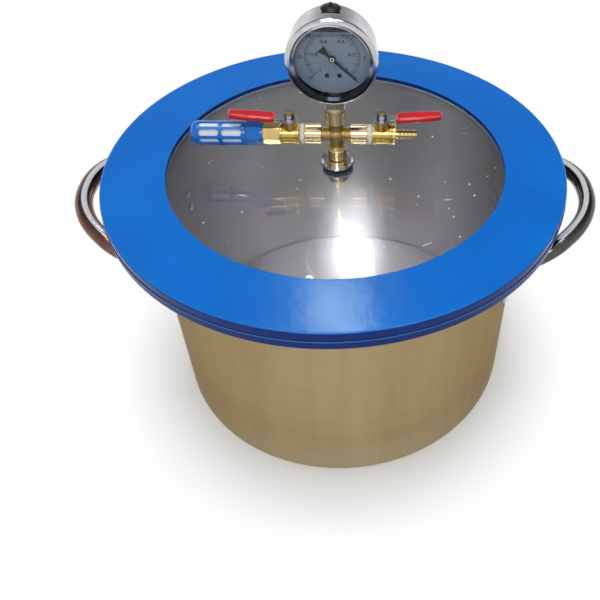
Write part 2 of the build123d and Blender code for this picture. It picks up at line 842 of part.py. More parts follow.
def make_case():
    outer = [
        (0, case_front),
        (case_radius, case_front),
        (case_radius, case_back - case_round),
        (case_radius - case_round * 0.3, case_back - case_round * 0.3),
        (case_radius - case_round, case_back),
        (0, case_back),
    ]
    inner_radius = case_radius - case_wall
    inner = [
        (0, case_front),
        (inner_radius, case_front),
        (inner_radius, case_back - case_round),
        (inner_radius - case_round * 0.3, case_back - case_round * 0.3 - case_wall * 0.7),
        (inner_radius - case_round + case_wall, case_back - case_wall),
        (0, case_back - case_wall),
    ]
    case = turned_y(outer) - turned_y(inner)
    case -= bar_z(block_depth + 2 * thread_gap, case_bottom - 1, gauge_z)
    return case - Pos(0, plug_y, 0) * bar_z(2 * plug_neck, gauge_z, gauge_z + case_radius + 5)


def make_bezel():
    glass_front = case_front - window_seat - glass_thickness
    skirt = case_front + bezel_skirt
    section = make_face(Polyline(
        (case_radius + thread_gap, skirt),
        (case_radius + thread_gap, glass_front),
        (window_radius, glass_front),
        (window_radius, glass_front - bezel_lip),
        (window_radius + bezel_bevel, bezel_front),
        (bezel_radius, bezel_front),
        (bezel_radius, skirt - bezel_break),
        (bezel_radius - bezel_break, skirt),
        close=True,
    ))
    front = section.vertices().group_by(Axis.Y)[0].sort_by(Axis.X)
    section = fillet(front[-1], bezel_round)
    front = section.vertices().group_by(Axis.Y)[0].sort_by(Axis.X)
    section = fillet(front[0], bezel_inner_round)
    return Pos(0, 0, gauge_z) * revolve(Plane.XY * section, axis=Axis.Y)


def make_gauge_glass():
    back = case_front - window_seat
    front = back - glass_thickness
    return turned_y([(0, back), (glass_radius, back), (glass_radius, front), (0, front)])


def make_glass_gasket():
    back = case_front
    front = back - window_seat
    inner = window_radius + gasket_reveal
    return turned_y([(inner, back), (glass_radius, back), (glass_radius, front), (inner, front)])


def make_dial():
    back = dial_front + dial_thickness
    dial = turned_y([(0, dial_front), (dial_radius, dial_front), (dial_radius, back), (0, back)])
    dial -= bar_y(arbor_diameter + 1.0, dial_front, back, 0, gauge_z)
    for side in (-screw_side, screw_side):
        dial -= bar_y(screw_shank + screw_clear, dial_front, back, side, gauge_z - screw_drop)
    return dial


def make_dial_screws():
    screws = []
    for side in (-screw_side, screw_side):
        height = gauge_z - screw_drop
        top = dial_front - screw_height
        head = chamfer(bar_y(screw_head, top, dial_front, side, height).edges(), screw_break)
        slot = Rot(0, screw_turn, 0) * Box(screw_head, 2 * screw_slot_depth, screw_slot)
        slot = Pos(side, top, height) * slot
        shank = bar_y(screw_shank, dial_front, plate_front + plate_thickness, side, height)
        screws.append(head - slot + shank)
    return screws


def make_plug():
    top = gauge_z + case_radius
    plug = turned([
        (0, top - 4.0),
        (plug_neck + plug_barb, top - 3.4),
        (plug_neck + plug_barb, top - 2.2),
        (plug_neck - 0.15, top - 1.8),
        (plug_neck - 0.15, top + 0.1),
        (plug_radius - 0.4, top + 0.1),
        (plug_radius, top + 0.5),
        (plug_radius, top + plug_flange),
        (plug_radius * 0.88, top + plug_flange + 0.6),
        (plug_radius * 0.5, top + plug_crown - 0.2),
        (plug_nub, top + plug_crown),
        (plug_nub * 0.8, top + plug_height - 0.4),
        (plug_nub * 0.5, top + plug_height),
        (0, top + plug_height),
    ])
    return Pos(0, plug_y, 0) * plug


def make_bourdon():
    """A flattened tube bent in a C, soldered to the side of the socket's tongue, with a closed tip."""
    inner = bourdon_radius - bourdon_thick / 2
    outer = bourdon_radius + bourdon_thick / 2
    first = -90.0
    arc_out = arc_points(outer, first, first + bourdon_sweep)
    arc_in = arc_points(inner, first + bourdon_sweep, first)
    band = make_face(Polyline(*arc_out, *arc_in, close=True))
    band -= Pos(0, -bourdon_radius) * Rectangle(block_width, 4 * bourdon_thick)
    return Pos(0, movement_y, gauge_z) * extrude(Plane.XZ * band, bourdon_width / 2, both=True)


def arc_points(radius, start, end, steps=28):
    angles = [radians(start + (end - start) * step / steps) for step in range(steps + 1)]
    return [(radius * cos(angle), radius * sin(angle)) for angle in angles]


def make_movement():
    """Two plates, their two pillars and the spacers under the dial."""
    low = block_low + block_height
    height = gauge_z + plate_above - low
    outline = RectangleRounded(plate_width, height, plate_corner)
    plates = []
    for front in (plate_front, plate_front + plate_thickness + plate_gap):
        plate = Pos(0, front, low + height / 2) * extrude(Plane.XZ * outline, -plate_thickness)
        plate -= bar_y(arbor_diameter + 2 * run_gap, front, front + plate_thickness, 0, gauge_z)
        plate -= bar_y(arbor_diameter + 2 * run_gap, front, front + plate_thickness, 0, sector_z)
        if front == plate_front:
            for side in (-screw_side, screw_side):
                plate -= bar_y(screw_shank, front, front + plate_thickness, side, gauge_z - screw_drop)
        plates.append(plate)
    frame = plates[0] + plates[1]
    for side in (-1, 1):
        x = side * (plate_width / 2 - pillar_diameter / 2 - pillar_side)
        z = gauge_z + plate_above - pillar_diameter / 2 - pillar_top
        frame += bar_y(pillar_diameter, plate_front + plate_thickness, plate_back - plate_thickness, x, z)
    for side in (-screw_side, screw_side):
        spacer = bar_y(screw_head, dial_front + dial_thickness, plate_front, side, gauge_z - screw_drop)
        frame += spacer - bar_y(screw_shank, dial_front, plate_front, side, gauge_z - screw_drop)
    return frame


def tooth_points(pitch_radius, middle):
    """One tooth's four corners at an angle in degrees, thinned for backlash."""
    step = gear_module * pi / pitch_radius
    root = pitch_radius - tooth_root * gear_module
    tip = pitch_radius + tooth_tip * gear_module
    centre = radians(middle)
    corners = []
    for radius, share in ((root, -0.30), (tip, -0.13), (tip, 0.13), (root, 0.30)):
        angle = centre + share * step
        corners.append((radius * cos(angle), radius * sin(angle)))
    return corners


def make_sector():
    """The toothed sector, its tail and its arbor."""
    outline = []
    for tooth in range(sector_cut):
        outline += tooth_points(sector_pitch, sector_start + (tooth + 0.5) * sector_step)
    last = sector_start + sector_cut * sector_step
    inner = sector_pitch - sector_rim
    outline += arc_points(inner, last, sector_start, 6)
    rim = make_face(Polyline(*outline, close=True))
    middle = sector_start + sector_cut * sector_step / 2
    arm = Rot(0, 0, middle) * Pos(inner / 2, 0) * Rectangle(inner + gear_module, sector_arm)
    along_tail = Rot(0, 0, middle + sector_tail_angle)
    tail = along_tail * Pos(sector_tail / 2, 0) * Rectangle(sector_tail, sector_tail_width)
    eye = along_tail * Pos(sector_tail, 0)
    flat = rim + arm + tail + eye * Circle(sector_eye / 2) + Circle(sector_hub / 2)
    flat -= eye * Circle(sector_eye_bore / 2)
    body = Pos(0, gear_mid, sector_z) * extrude(Plane.XZ * flat, gear_thickness / 2, both=True)
    return body + bar_y(arbor_diameter, plate_front, plate_back, 0, sector_z)


def make_arbor():
    """The pointer's arbor, with its pinion."""
    outline = []
    for tooth in range(pinion_teeth):
        outline += tooth_points(pinion_pitch, -90 + tooth * 360 / pinion_teeth)
    face = Plane.XZ * make_face(Polyline(*outline, close=True))
    pinion = Pos(0, gear_mid, gauge_z) * extrude(face, gear_thickness, both=True)
    return pinion + bar_y(arbor_diameter, pointer_front, plate_back, 0, gauge_z)


def make_pointer():
    """Needle, fan-shaped tail and hub, pressed on the arbor."""
    half = [
        (pointer_reach, 0),
        (pointer_reach - pointer_tip, 0.35),
        (0, 0.9),
        (-4.0, 0.8),
        (-pointer_tail, 2.9),
    ]
    other = [(x, -y) for x, y in reversed(half[1:])]
    outline = make_face(Polyline(*half, (-pointer_tail + 0.6, 0), *other, close=True))
    flat = Rot(0, 0, zero_angle) * outline + Circle(pointer_hub / 2)
    plate = Pos(0, pointer_front, gauge_z) * extrude(Plane.XZ * flat, -pointer_thickness)
    hub = bar_y(pointer_hub * 0.7, pointer_front - hub_front, pointer_front + hub_back, 0, gauge_z)
    return plate + hub - bar_y(arbor_diameter, pointer_front, plate_front, 0, gauge_z)


# ---------------------------------------------------------------- the assembly
def build():
    nodes = {}
    pot = make_pot()
    handle = make_handle()
    nodes["handle_right"], nodes["handle_left"] = both_sides(handle)
    corners = {
        "right_front": -foot_angle,
        "right_back": foot_angle,
        "left_front": 180 + foot_angle,
        "left_back": 180 - foot_angle,
    }
    for corner, angle in corners.items():
        nodes["handle_foot_" + corner] = make_foot(angle)
        nodes["rivets_" + corner] = make_rivets(angle)
        pot = pierce_for_rivets(pot, angle)
    nodes["pot"] = pot
    nodes["gasket_ring"] = make_ring()
    nodes["glass_lid"] = make_lid()

    nodes["bulkhead_nipple"] = make_nipple()
    nodes["lid_seal_top"] = make_seal(lid_top + seal_top_thickness, seal_top_thickness)
    nodes["bulkhead_washer_top"] = make_dished_washer()
    nodes["lid_seal_bottom"] = make_seal(lid_bottom, seal_bottom_thickness)
    nodes["bulkhead_washer_bottom"] = make_bottom_washer()
    nodes["bulkhead_nut"] = make_bulkhead_nut()
    nodes["cross_fitting"] = make_cross()

    tape = at_manifold(tape_ring(tape_length, tape_diameter, cross_arm))
    nodes["thread_tape_right"], nodes["thread_tape_left"] = both_sides(tape)
    gauge_tape = tape_ring(gauge_tape_length, gauge_tape_diameter, cross_arm)
    nodes["thread_tape_gauge"] = at_manifold(Rot(0, -90, 0) * gauge_tape)

    nodes["valve_body_right"], nodes["valve_body_left"] = both_sides(make_valve_body())
    nodes["stem_packing_right"], nodes["stem_packing_left"] = both_sides(make_packing())
    seats = make_seats()
    nodes["ball_seats_right"] = seats
    nodes["ball_seats_left"] = [mirror(seat, Plane.YZ) for seat in seats]
    nodes["valve_ball_right"], nodes["valve_ball_left"] = both_sides(make_ball())
    nodes["valve_stem_right"], nodes["valve_stem_left"] = both_sides(make_stem())
    nodes["lever_plate_right"], nodes["lever_plate_left"] = both_sides(make_lever())
    nodes["lever_sleeve_right"], nodes["lever_sleeve_left"] = both_sides(make_sleeve())
    nodes["lever_nut_right"], nodes["lever_nut_left"] = both_sides(make_lever_nut())

    nodes["hose_barb"] = make_barb()
    nodes["valve_end_left"] = mirror(make_hex_end(), Plane.YZ)
    nodes["filter_cage"] = mirror(make_cage(), Plane.YZ)
    nodes["filter_core"] = mirror(make_core(), Plane.YZ)

    nodes["gauge_socket"] = make_socket()
    nodes["gauge_case"] = make_case()
    nodes["gauge_bezel"] = make_bezel()
    nodes["gauge_glass"] = make_gauge_glass()
    nodes["gauge_glass_gasket"] = make_glass_gasket()
    nodes["gauge_dial"] = make_dial()
    nodes["dial_screws"] = make_dial_screws()
    nodes["gauge_filler_plug"] = make_plug()
    nodes["bourdon_tube"] = make_bourdon()
    nodes["movement_frame"] = make_movement()
    nodes["movement_sector"] = make_sector()
    nodes["pointer_arbor"] = make_arbor()
    nodes["gauge_pointer"] = make_pointer()
    return nodes


os.makedirs("parts", exist_ok=True)
for name, shape in build().items():
    pieces = shape if isinstance(shape, list) else [shape]
    solids = [solid for piece in pieces for solid in piece.solids()]
    export_step(Compound(children=solids), f"parts/{name}.step")
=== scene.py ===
"""Looks of the vacuum chamber: finishes, dial print, thread tape, drops, camera and light."""

import math
import random

import bpy
from mathutils import Matrix, Vector


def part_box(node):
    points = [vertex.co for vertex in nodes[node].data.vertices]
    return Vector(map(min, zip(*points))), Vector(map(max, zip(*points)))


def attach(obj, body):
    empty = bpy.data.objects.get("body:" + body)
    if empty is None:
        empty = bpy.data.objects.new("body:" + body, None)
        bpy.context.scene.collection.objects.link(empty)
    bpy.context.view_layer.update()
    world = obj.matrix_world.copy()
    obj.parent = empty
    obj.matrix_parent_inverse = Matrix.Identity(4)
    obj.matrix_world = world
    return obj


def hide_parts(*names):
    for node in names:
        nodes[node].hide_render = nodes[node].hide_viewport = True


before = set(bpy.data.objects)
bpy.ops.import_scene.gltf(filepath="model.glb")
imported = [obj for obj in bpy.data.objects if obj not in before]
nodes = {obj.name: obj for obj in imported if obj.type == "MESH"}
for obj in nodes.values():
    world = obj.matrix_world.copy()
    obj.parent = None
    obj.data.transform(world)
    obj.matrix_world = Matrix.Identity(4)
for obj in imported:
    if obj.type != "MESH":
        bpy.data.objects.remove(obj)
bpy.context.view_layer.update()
mm = 0.001


# ---------------------------------------------------------------- colours
def colour(r, g, b):
    """A colour given as 0 to 255 for each part, in the linear values that a shader takes."""
    def linear(c):
        c /= 255.0
        return c / 12.92 if c <= 0.04045 else ((c + 0.055) / 1.055) ** 2.4
    return (linear(r), linear(g), linear(b), 1.0)


# ---------------------------------------------------------------- values in a shader
def feed(tree, socket, value):
    """Sets a socket to a plain value, or links another node's output to it."""
    if isinstance(value, (int, float, tuple)):
        socket.default_value = value
    else:
        tree.links.new(value, socket)


def add(tree, kind, **values):
    """A node with its settings and plain inputs given by name."""
    made = tree.nodes.new(kind)
    for key, value in values.items():
        if hasattr(made, key):
            setattr(made, key, value)
        else:
            made.inputs[key.replace("_", " ")].default_value = value
    return made


def math_node(tree, operation, first, second=None):
    made = tree.nodes.new("ShaderNodeMath")
    made.operation = operation
    feed(tree, made.inputs[0], first)
    if second is not None:
        feed(tree, made.inputs[1], second)
    return made.outputs[0]


def plus(tree, first, second):
    return math_node(tree, "ADD", first, second)


def minus(tree, first, second):
    return math_node(tree, "SUBTRACT", first, second)


def times(tree, first, second):
    return math_node(tree, "MULTIPLY", first, second)


def larger(tree, first, second):
    return math_node(tree, "MAXIMUM", first, second)


def smaller(tree, first, second):
    return math_node(tree, "MINIMUM", first, second)


def unsigned(tree, value):
    return math_node(tree, "ABSOLUTE", value)


def spread(tree, value, from_min, from_max, to_min, to_max):
    """Maps one range onto another and holds the value at its ends."""
    made = tree.nodes.new("ShaderNodeMapRange")
    labels = ("From Min", "From Max", "To Min", "To Max")
    for label, limit in zip(labels, (from_min, from_max, to_min, to_max)):
        feed(tree, made.inputs[label], limit)
    tree.links.new(value, made.inputs["Value"])
    return made.outputs[0]


def ramp(tree, value, low, high):
    """0 up to low and 1 from high."""
    return spread(tree, value, low, high, 0.0, 1.0)


def fall(tree, value, low, high):
    """1 up to low and 0 from high."""
    return spread(tree, value, low, high, 1.0, 0.0)


def vary(tree, mask, at_none, at_full):
    """A value that goes from one number to another as its mask goes from 0 to 1."""
    return spread(tree, mask, 0.0, 1.0, at_none, at_full)


def blend(tree, fac, first, second):
    """A colour or direction between two others."""
    made = tree.nodes.new("ShaderNodeMix")
    made.data_type = "RGBA"
    for index, value in ((0, fac), (6, first), (7, second)):
        feed(tree, made.inputs[index], value)
    return made.outputs[2]


def layered(tree, patches, grain, share):
    """Patches with a share of grain laid over them."""
    return plus(tree, times(tree, patches, 1 - share), times(tree, grain, share))


def split(tree, place):
    """The three coordinates of a place."""
    xyz = tree.nodes.new("ShaderNodeSeparateXYZ")
    tree.links.new(place, xyz.inputs[0])
    return xyz.outputs[0], xyz.outputs[1], xyz.outputs[2]


def combine(tree, *parts):
    """A vector from its two or three parts."""
    made = tree.nodes.new("ShaderNodeCombineXYZ")
    for socket, value in zip(made.inputs, parts):
        feed(tree, socket, value)
    return made.outputs[0]


def vector_math(tree, operation, first, second=None):
    made = tree.nodes.new("ShaderNodeVectorMath")
    made.operation = operation
    tree.links.new(first, made.inputs[0])
    if second is not None:
        tree.links.new(second, made.inputs[1])
    return made


def reach_of(tree, first, second):
    """How far a point with these two coordinates lies from their origin."""
    return vector_math(tree, "LENGTH", combine(tree, first, second)).outputs["Value"]


# ---------------------------------------------------------------- shared effects
def group(name, inputs, outputs):
    """An empty shared effect with its own inputs and outputs."""
    tree = bpy.data.node_groups.new(name, "ShaderNodeTree")
    for label, kind, value in inputs:
        socket = tree.interface.new_socket(label, in_out="INPUT", socket_type=kind)
        if value is not None:
            socket.default_value = value
    for label, kind in outputs:
        tree.interface.new_socket(label, in_out="OUTPUT", socket_type=kind)
    return tree, tree.nodes.new("NodeGroupInput"), tree.nodes.new("NodeGroupOutput")


def make_mottle():
    """Soft uneven patches, for tone and for roughness."""
    tree, given, put = group(
        "mottle",
        [("Vector", "NodeSocketVector", None), ("Scale", "NodeSocketFloat", 40.0)],
        [("Mask", "NodeSocketFloat")])
    fine = add(tree, "ShaderNodeTexNoise", Detail=5.0, Roughness=0.6)
    tree.links.new(given.outputs["Vector"], fine.inputs["Vector"])
    tree.links.new(given.outputs["Scale"], fine.inputs["Scale"])
    tree.links.new(ramp(tree, fine.outputs["Fac"], 0.3, 0.7), put.inputs["Mask"])
    return tree


def make_brushing():
    """Fine lines left by a polishing belt, drawn out along the chosen axes."""
    tree, given, put = group(
        "brushing",
        [("Vector", "NodeSocketVector", None), ("Across", "NodeSocketVector", None)],
        [("Lines", "NodeSocketFloat")])
    scaled = vector_math(tree, "MULTIPLY", given.outputs["Vector"], given.outputs["Across"])
    lines = add(tree, "ShaderNodeTexNoise", Scale=1.0, Detail=3.0, Roughness=0.7)
    tree.links.new(scaled.outputs[0], lines.inputs["Vector"])
    tree.links.new(ramp(tree, lines.outputs["Fac"], 0.3, 0.7), put.inputs["Lines"])
    return tree


def make_specks():
    """Scattered small marks: pits in a casting or dust on glass."""
    tree, given, put = group(
        "specks",
        [("Vector", "NodeSocketVector", None), ("Scale", "NodeSocketFloat", 300.0),
         ("Share", "NodeSocketFloat", 0.1)],
        [("Mask", "NodeSocketFloat")])
    cells = add(tree, "ShaderNodeTexVoronoi", Randomness=1.0)
    tree.links.new(given.outputs["Vector"], cells.inputs["Vector"])
    tree.links.new(given.outputs["Scale"], cells.inputs["Scale"])
    share = given.outputs["Share"]
    edge = times(tree, share, 0.5)
    tree.links.new(fall(tree, cells.outputs["Distance"], edge, share), put.inputs["Mask"])
    return tree


mottle = make_mottle()
brushing = make_brushing()
specks = make_specks()


def use(tree, shared, **values):
    """Places a shared effect in a material and returns what it puts out."""
    made = tree.nodes.new("ShaderNodeGroup")
    made.node_tree = shared
    for key, value in values.items():
        feed(tree, made.inputs[key], value)
    return made.outputs[0]


# ---------------------------------------------------------------- kinds of finish
def material(name):
    """A new material, its nodes, its surface shader and the piece's own coordinates."""
    made = bpy.data.materials.new(name)
    made.use_nodes = True
    tree = made.node_tree
    surface = tree.nodes["Principled BSDF"]
    place = tree.nodes.new("ShaderNodeTexCoord").outputs["Object"]
    return made, tree, surface, place


def raise_surface(tree, surface, height, depth, strength=1.0):
    """Fine relief, up to a depth in metres."""
    made = add(tree, "ShaderNodeBump", Strength=strength, Distance=depth)
    tree.links.new(height, made.inputs["Height"])
    tree.links.new(made.outputs[0], surface.inputs["Normal"])
    return made


def metal(name, dark, light, rough, rough_spread, scale,
          across=(900, 900, 900), lines=0.35, depth=0.0):
    """A metal whose tone and roughness wander a little, with fine lines across one way."""
    made, tree, surface, place = material(name)
    patches = use(tree, mottle, Vector=place, Scale=scale)
    grain = use(tree, brushing, Vector=place, Across=across)
    mask = layered(tree, patches, grain, lines)
    tree.links.new(blend(tree, mask, dark, light), surface.inputs["Base Color"])
    tree.links.new(vary(tree, mask, rough + rough_spread, rough - rough_spread),
                   surface.inputs["Roughness"])
    surface.inputs["Metallic"].default_value = 1.0
    if depth:
        raise_surface(tree, surface, grain, depth, 0.6)
    return made


def moulding(name, dark, light, rough, rough_spread, scale, coat=0.0, depth=0.0, gloss=0.5):
    """Rubber or plastic with slightly uneven tone and a fine moulded skin."""
    made, tree, surface, place = material(name)
    patches = use(tree, mottle, Vector=place, Scale=scale)
    tree.links.new(blend(tree, patches, dark, light), surface.inputs["Base Color"])
    tree.links.new(vary(tree, patches, rough + rough_spread, rough - rough_spread),
                   surface.inputs["Roughness"])
    surface.inputs["Coat Weight"].default_value = coat
    surface.inputs["Specular IOR Level"].default_value = gloss
    surface.inputs["Coat Roughness"].default_value = 0.06
    if depth:
        raise_surface(tree, surface, use(tree, mottle, Vector=place, Scale=900.0), depth, 0.5)
    return made


def clear(name, tint, rough, dust_scale, dust_share, index=1.45):
    """Clear sheet with a little dust, which lets lamps through to what lies behind."""
    made, tree, surface, place = material(name)
    dust = use(tree, specks, Vector=place, Scale=dust_scale, Share=dust_share)
    patches = use(tree, mottle, Vector=place, Scale=18.0)
    tree.links.new(blend(tree, dust, tint, colour(250, 250, 250)), surface.inputs["Base Color"])
    rubbed = larger(tree, times(tree, patches, rough), times(tree, dust, 0.5))
    tree.links.new(rubbed, surface.inputs["Roughness"])
    surface.inputs["Transmission Weight"].default_value = 1.0
    surface.inputs["IOR"].default_value = index
    through = tree.nodes.new("ShaderNodeBsdfTransparent")
    through.inputs[0].default_value = colour(250, 252, 252)
    path = tree.nodes.new("ShaderNodeLightPath")
    mix = tree.nodes.new("ShaderNodeMixShader")
    tree.links.new(path.outputs["Is Shadow Ray"], mix.inputs[0])
    tree.links.new(surface.outputs[0], mix.inputs[1])
    tree.links.new(through.outputs[0], mix.inputs[2])
    tree.links.new(mix.outputs[0], tree.nodes["Material Output"].inputs["Surface"])
    return made


# ---------------------------------------------------------------- sizes read from the solids
ring_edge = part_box("gasket_ring")[1][0]
ring_opening = 124.6 * mm
lid_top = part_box("glass_lid")[1][2]
dial_low, dial_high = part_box("gauge_dial")
hub_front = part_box("gauge_pointer")[0][1]
bezel_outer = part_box("gauge_bezel")[1][0]
cross_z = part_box("cross_fitting")[1][2] - 22.3 * mm
gauge_z = (dial_low[2] + dial_high[2]) / 2
fill_line = gauge_z + 17.0 * mm
bend_radius, bend_z = 133 * mm, 8 * mm    # centre of the bend between the pot's floor and wall


# ---------------------------------------------------------------- finishes of single pieces
def pot_finish():
    """Belt-polished steel: painted tan reflection outside, grey within, grain round wall and floor.
    """
    made, tree, surface, place = material("pot_steel")
    x, y, z = split(tree, place)
    radius = reach_of(tree, x, y)
    sideways = unsigned(tree, x)

    # the sheet's two faces are 6.8 and 8 mm from the bend's centre, all the way round the bend
    past_bend = larger(tree, minus(tree, radius, bend_radius), 0.0)
    under_bend = smaller(tree, minus(tree, z, bend_z), 0.0)
    outside = ramp(tree, reach_of(tree, past_bend, under_bend), 7.3 * mm, 7.5 * mm)
    inside = minus(tree, 1.0, outside)
    # a little way up the bend the floor's finish gives way to the wall's
    near_wall = ramp(tree, z, 3.1 * mm, 3.3 * mm)

    # grain runs round the wall, and in rings on the floor
    turns = times(tree, plus(tree, z, radius), 1400.0)
    ring_place = combine(tree, times(tree, x, 9.0), times(tree, y, 9.0), turns)
    grain = use(tree, brushing, Vector=ring_place, Across=(1, 1, 1))
    patches = use(tree, mottle, Vector=place, Scale=9.0)
    bands = use(tree, brushing, Vector=place, Across=(26, 26, 2.5))
    mask = layered(tree, bands, grain, 0.4)

    # painted reflection: the outside is painted tan for the light it reflects; the steel itself is
    # grey
    painted_tan_reflection = blend(tree, mask, colour(158, 137, 100), colour(182, 162, 124))
    # painted light: the outside is painted paler towards its foot
    painted_pale_foot = spread(tree, z, 2 * mm, 45 * mm, 0.55, 0.0)
    painted_tan_reflection = blend(tree, painted_pale_foot, painted_tan_reflection, colour(204, 196, 166))
    grey = blend(tree, layered(tree, patches, grain, 0.4),
                 colour(220, 216, 219), colour(240, 236, 239))
    # painted shade: the inner wall is painted darker towards its far left and right
    painted_shade_sides = spread(tree, sideways, 85 * mm, 132 * mm, 0.0, 0.6)
    grey = blend(tree, painted_shade_sides, grey, colour(126, 126, 136))
    tree.links.new(blend(tree, outside, grey, painted_tan_reflection), surface.inputs["Base Color"])

    floor_rough = 0.10
    duller_sides = spread(tree, sideways, 40 * mm, 90 * mm, 0.0, 0.2)
    wall_rough = plus(tree, vary(tree, bands, 0.40, 0.28), duller_sides)
    inner_rough = plus(tree, floor_rough,
                       times(tree, near_wall, minus(tree, wall_rough, floor_rough)))
    outer_rough = vary(tree, mask, 0.44, 0.32)
    tree.links.new(plus(tree, times(tree, outside, outer_rough), times(tree, inside, inner_rough)),
                   surface.inputs["Roughness"])
    tree.links.new(vary(tree, outside, 1.0, 0.72), surface.inputs["Metallic"])
    # painted reflection: the steel's reflections are tinted tan too
    surface.inputs["Specular Tint"].default_value = colour(165, 145, 118)
    relief = raise_surface(tree, surface, grain, 0.01 * mm, 0.35)

    # the tight bend between floor and wall is shaded as a crisp corner
    on_floor = times(tree, inside, minus(tree, 1.0, near_wall))
    bend_top = fall(tree, z, 8.0 * mm, 8.4 * mm)
    on_bend = times(tree, times(tree, inside, near_wall), bend_top)
    inward = combine(tree, times(tree, x, -1.0), times(tree, y, -1.0))
    inward = vector_math(tree, "NORMALIZE", inward).outputs[0]
    facing = tree.nodes.new("ShaderNodeNewGeometry").outputs["Normal"]
    facing = blend(tree, on_bend, facing, inward)
    facing = blend(tree, on_floor, facing, (0.0, 0.0, 1.0, 1.0))
    tree.links.new(facing, relief.inputs["Normal"])
    return made


def handle_finish():
    """Polished tube: painted highlight along its top, painted dark reflections on its sides,
    browner on the left.
    """
    made, tree, surface, place = material("handle_steel")
    x, _, z = split(tree, place)

    # the tube's middle rises outwards in a slanting plane
    grip_x, grip_z, slant = 192 * mm, 178.5 * mm, 0.274
    rise = times(tree, minus(tree, unsigned(tree, x), grip_x), slant)
    height = minus(tree, minus(tree, z, grip_z), rise)
    # painted highlight: a white stripe along the tube's top, less metallic there
    painted_highlight_stripe = ramp(tree, height, 6.2 * mm, 6.5 * mm)
    painted_highlight_stripe = times(tree, painted_highlight_stripe, painted_highlight_stripe)

    patches = use(tree, mottle, Vector=place, Scale=60.0)
    # painted reflection: the tube is painted dark, and browner on the left
    right = blend(tree, patches, colour(72, 68, 66), colour(104, 99, 96))
    left = blend(tree, patches, colour(104, 74, 66), colour(130, 100, 90))
    painted_dark_tube = blend(tree, ramp(tree, x, -1 * mm, 1 * mm), left, right)
    tree.links.new(blend(tree, painted_highlight_stripe, painted_dark_tube, colour(244, 244, 246)), surface.inputs["Base Color"])
    tree.links.new(vary(tree, patches, 0.10, 0.06), surface.inputs["Roughness"])
    tree.links.new(vary(tree, painted_highlight_stripe, 1.0, 0.35), surface.inputs["Metallic"])
    return made


def cross_finish():
    """Sand-cast brass whose four collars are turned bright."""
    made, tree, surface, place = material("cast_brass")
    x, _, z = split(tree, place)
    side = ramp(tree, unsigned(tree, x), 10.3 * mm, 10.6 * mm)
    above = ramp(tree, z, cross_z + 10.3 * mm, cross_z + 10.6 * mm)
    below = ramp(tree, z, cross_z - 11.4 * mm, cross_z - 11.7 * mm)
    turned = larger(tree, side, larger(tree, above, below))

    sand = use(tree, mottle, Vector=place, Scale=520.0)
    pits = use(tree, specks, Vector=place, Scale=900.0, Share=0.3)
    lines = use(tree, brushing, Vector=place, Across=(2600, 60, 60))
    cast = blend(tree, sand, colour(128, 104, 54), colour(190, 164, 104))
    bright = blend(tree, lines, colour(206, 180, 128), colour(236, 216, 172))
    tree.links.new(blend(tree, turned, cast, bright), surface.inputs["Base Color"])
    tree.links.new(vary(tree, turned, 0.36, 0.11), surface.inputs["Roughness"])
    surface.inputs["Metallic"].default_value = 1.0
    skin = times(tree, minus(tree, sand, times(tree, pits, 0.5)), minus(tree, 1.0, turned))
    raise_surface(tree, surface, skin, 0.22 * mm, 0.8)
    return made


def ring_finish():
    """Moulded blue rubber: smooth top, duller side in painted shade, painted highlights at bead and
    lid edge.
    """
    made, tree, surface, place = material("blue_rubber")
    x, y, z = split(tree, place)
    radius = reach_of(tree, x, y)
    side = ramp(tree, radius, ring_edge - 1.1 * mm, ring_edge - 0.7 * mm)
    bead = ramp(tree, radius, ring_edge - 0.45 * mm, ring_edge - 0.3 * mm)
    inner_wall = fall(tree, radius, ring_opening + 0.15 * mm, ring_opening + 0.4 * mm)
    by_lid = fall(tree, z, lid_top + 0.5 * mm, lid_top + 0.8 * mm)

    patches = use(tree, mottle, Vector=place, Scale=14.0)
    skin = blend(tree, patches, colour(2, 106, 206), colour(8, 118, 218))
    # painted shade: the outer side and the inner wall are painted dark navy
    skin = blend(tree, larger(tree, side, inner_wall), skin, colour(0, 42, 116))
    # painted highlight: a paler line along the bead
    skin = blend(tree, bead, skin, colour(56, 104, 176))
    # painted highlight: a pale line where the inner wall meets the lid
    skin = blend(tree, times(tree, inner_wall, by_lid), skin, colour(170, 205, 232))
    tree.links.new(skin, surface.inputs["Base Color"])
    tree.links.new(vary(tree, patches, 0.20, 0.14), surface.inputs["Roughness"])
    tree.links.new(vary(tree, side, 0.3, 0.12), surface.inputs["Specular IOR Level"])
    waves = use(tree, mottle, Vector=place, Scale=11.0)
    fine = use(tree, mottle, Vector=place, Scale=900.0)
    raise_surface(tree, surface, plus(tree, waves, times(tree, fine, 0.01)), 0.8 * mm, 0.4)
    return made


def threaded(name):
    """Brass pipe with the turns of its thread."""
    made, tree, surface, place = material(name)
    z = split(tree, place)[2]
    pitch = 1.337 * mm
    wave = math_node(tree, "SINE", times(tree, z, 2 * math.pi / pitch))
    turns = spread(tree, wave, -1.0, 1.0, 0.0, 1.0)
    tree.links.new(blend(tree, turns, colour(132, 104, 52), colour(206, 178, 112)),
                   surface.inputs["Base Color"])
    tree.links.new(vary(tree, turns, 0.4, 0.2), surface.inputs["Roughness"])
    surface.inputs["Metallic"].default_value = 1.0
    raise_surface(tree, surface, turns, 0.6 * mm)
    return made


